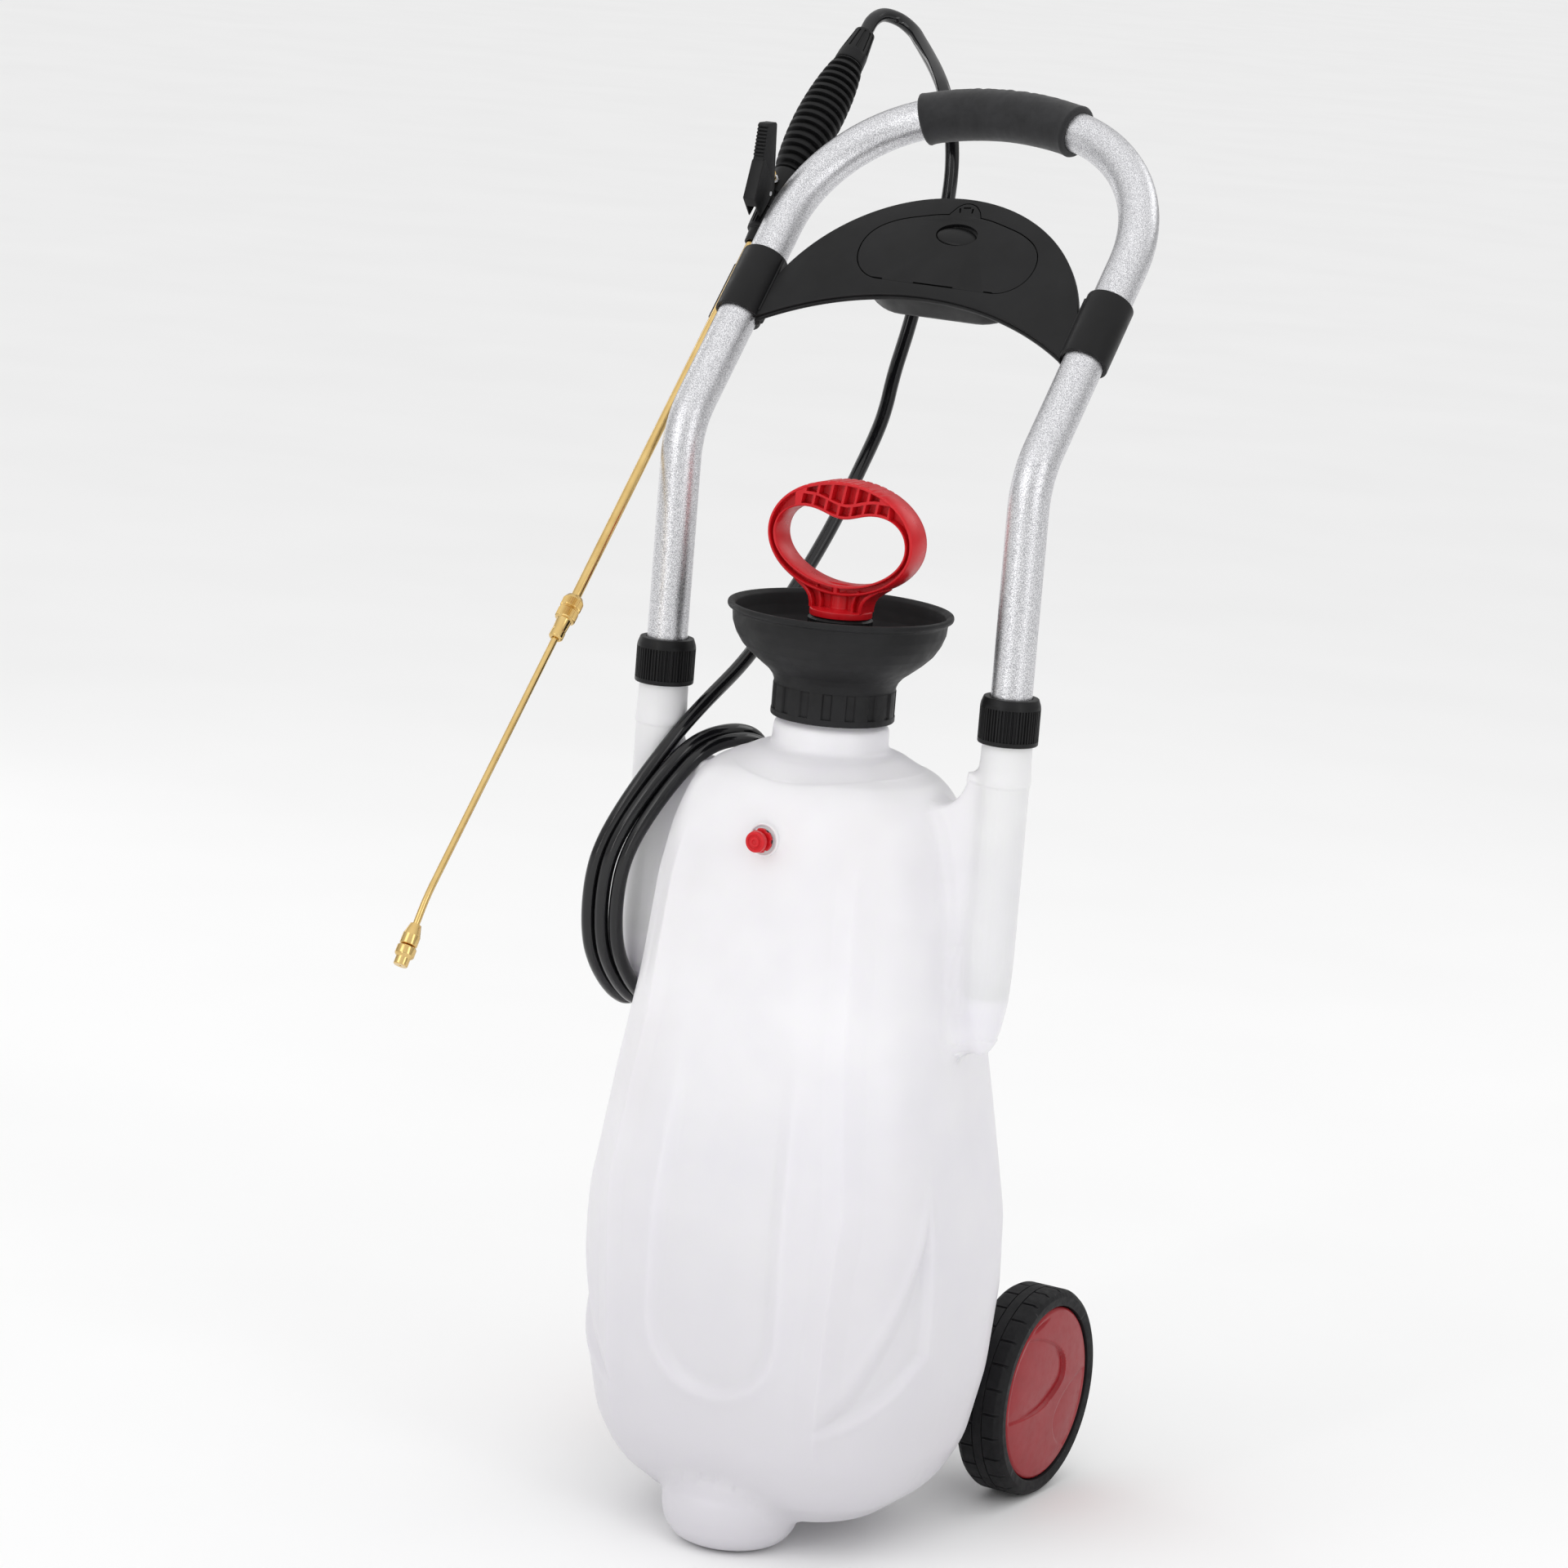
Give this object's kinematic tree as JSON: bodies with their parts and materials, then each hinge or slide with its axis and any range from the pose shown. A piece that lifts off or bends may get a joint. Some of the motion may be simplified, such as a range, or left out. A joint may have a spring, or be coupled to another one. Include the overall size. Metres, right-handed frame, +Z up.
{
  "type": "wheeled sprayer cart",
  "caption": "Upright pressure sprayer tank on two wheels with a pump, a funnel neck, a sliding bent-tube handle, a tool tray and a hose-fed spray lance.",
  "frame": {"origin": "centre of the flat face under the tank's front foot", "axes": "+Z up along the tank, -Y towards the front of the tank, +X towards the right-hand wheel seen from the front"},
  "size_m": [0.2938, 0.5117, 0.9271],
  "materials": {
    "milky_plastic": "translucent blow-moulded polyethylene, satin",
    "black_plastic": "satin moulded",
    "black_rubber": "matt",
    "grip_foam": "matt foam",
    "red_plastic": "satin moulded",
    "anodised_tube": "bead-blasted, anodised",
    "brass": "drawn, bright",
    "zinc_steel": "zinc plated",
    "hose_black": "glossy PVC",
    "tyre_black": "hard rubber"
  },
  "bodies": {
    "tank": {"tank_shell": "milky_plastic", "lock_collet_left": "black_plastic", "lock_collet_right": "black_plastic", "axle": "zinc_steel", "axle_clip_left": "zinc_steel", "axle_clip_right": "zinc_steel", "relief_seal": "black_rubber", "relief_body": "red_plastic", "relief_spring": "zinc_steel", "outlet_gasket": "black_rubber", "outlet_elbow": "black_plastic", "outlet_nut": "black_plastic", "dip_tube": "hose_black", "suction_filter": "black_plastic", "supply_hose": "hose_black", "hose_lead": "hose_black", "hose_coil": "hose_black"},
    "handle": {"handle_tube": "anodised_tube", "handle_grip": "grip_foam", "leg_plug_left": "black_plastic", "leg_plug_right": "black_plastic", "tool_tray": "black_plastic", "clamp_screw_left": "zinc_steel", "clamp_screw_right": "zinc_steel", "lance_clip": "black_plastic", "lance_nut": "black_plastic", "gun_body": "black_plastic", "gun_grip": "black_rubber", "grip_core": "black_plastic", "hose_nut": "black_plastic", "trigger_pin": "zinc_steel", "valve_spring": "zinc_steel", "lance_outer": "brass"},
    "nut_left": {"lock_nut_left": "black_plastic"},
    "nut_right": {"lock_nut_right": "black_plastic"},
    "pump_unit": {"pump_cylinder": "black_plastic", "pump_guide": "black_plastic", "inlet_valve": "black_rubber", "cap_gasket": "black_rubber"},
    "cap": {"funnel_cap": "black_plastic"},
    "plunger": {"pump_rod": "zinc_steel", "pump_piston": "black_plastic", "piston_cup": "black_rubber", "rod_screw": "zinc_steel", "pump_handle": "red_plastic"},
    "relief_button": {"relief_knob": "red_plastic"},
    "trigger_lever": {"trigger": "black_plastic"},
    "stem": {"valve_stem": "brass"},
    "collar": {"lance_collar": "brass"},
    "lance_tip": {"lance_inner": "brass", "nozzle_body": "brass"},
    "nozzle": {"nozzle_cap": "brass"},
    "lid": {"tray_lid": "black_plastic"},
    "wheel_left": {"tyre_left": "tyre_black", "wheel_rim_left": "black_plastic", "wheel_disc_left": "red_plastic"},
    "wheel_right": {"tyre_right": "tyre_black", "wheel_rim_right": "black_plastic", "wheel_disc_right": "red_plastic"}
  },
  "joints": [
    {"name": "handle_slide", "type": "slide", "parent": "tank", "child": "handle", "axis": [0, 0, -1], "range_m": [0, 0.082]},
    {"name": "lock_nut_left_turn", "type": "hinge", "parent": "tank", "child": "nut_left", "pos_m": [-0.12, 0.047, 0.53], "axis": [0, 0, 1], "range_deg": [0, 360]},
    {"name": "lock_nut_right_turn", "type": "hinge", "parent": "tank", "child": "nut_right", "pos_m": [0.12, 0.047, 0.53], "axis": [0, 0, 1], "range_deg": [0, 360]},
    {"name": "pump_lift", "type": "slide", "parent": "tank", "child": "pump_unit", "axis": [0, 0, 1], "range_m": [0, 0.006]},
    {"name": "cap_turn", "type": "hinge", "parent": "pump_unit", "child": "cap", "pos_m": [0, 0.047, 0.52], "axis": [0, 0, 1], "range_deg": [0, 540]},
    {"name": "plunger_stroke", "type": "slide", "parent": "pump_unit", "child": "plunger", "axis": [0, 0, 1], "range_m": [0, 0.218]},
    {"name": "relief_pull", "type": "slide", "parent": "tank", "child": "relief_button", "axis": [0, -1, 0], "range_m": [0, 0.004], "stiffness_N_per_m": 600, "springref_m": -0.002},
    {"name": "trigger_squeeze", "type": "hinge", "parent": "handle", "child": "trigger_lever", "pos_m": [-0.141, 0.16218, 0.81163], "axis": [-1, 0, 0], "range_deg": [0, 14], "stiffness_Nm_per_rad": 0.6, "springref_deg": -5.73},
    {"name": "stem_press", "type": "slide", "parent": "handle", "child": "stem", "axis": [0, 0.7193, -0.6947], "range_m": [0, 0.003]},
    {"name": "collar_turn", "type": "hinge", "parent": "handle", "child": "collar", "pos_m": [-0.141, -0.04026, 0.56143], "axis": [0, 0.6561, 0.7547], "range_deg": [0, 270]},
    {"name": "lance_extend", "type": "slide", "parent": "handle", "child": "lance_tip", "axis": [0, 0.6561, 0.7547], "range_m": [0, 0.168]},
    {"name": "nozzle_turn", "type": "hinge", "parent": "lance_tip", "child": "nozzle", "pos_m": [-0.141, -0.1874, 0.38591], "axis": [0, 0.5299, 0.848], "range_deg": [0, 360]},
    {"name": "lid_open", "type": "hinge", "parent": "handle", "child": "lid", "pos_m": [0, 0.12612, 0.77198], "axis": [1, 0, 0], "range_deg": [0, 110]},
    {"name": "wheel_left_spin", "type": "hinge", "parent": "tank", "child": "wheel_left", "pos_m": [-0.0925, 0.211, 0.0675], "axis": [1, 0, 0], "continuous": true},
    {"name": "wheel_right_spin", "type": "hinge", "parent": "tank", "child": "wheel_right", "pos_m": [0.0925, 0.211, 0.0675], "axis": [1, 0, 0], "continuous": true}
  ],
  "couplings": [
    {"joint": "pump_lift", "follows": "cap_turn", "m_per_rad": 0.00063662},
    {"joint": "stem_press", "follows": "trigger_squeeze", "m_per_rad": 0.012265}
  ]
}
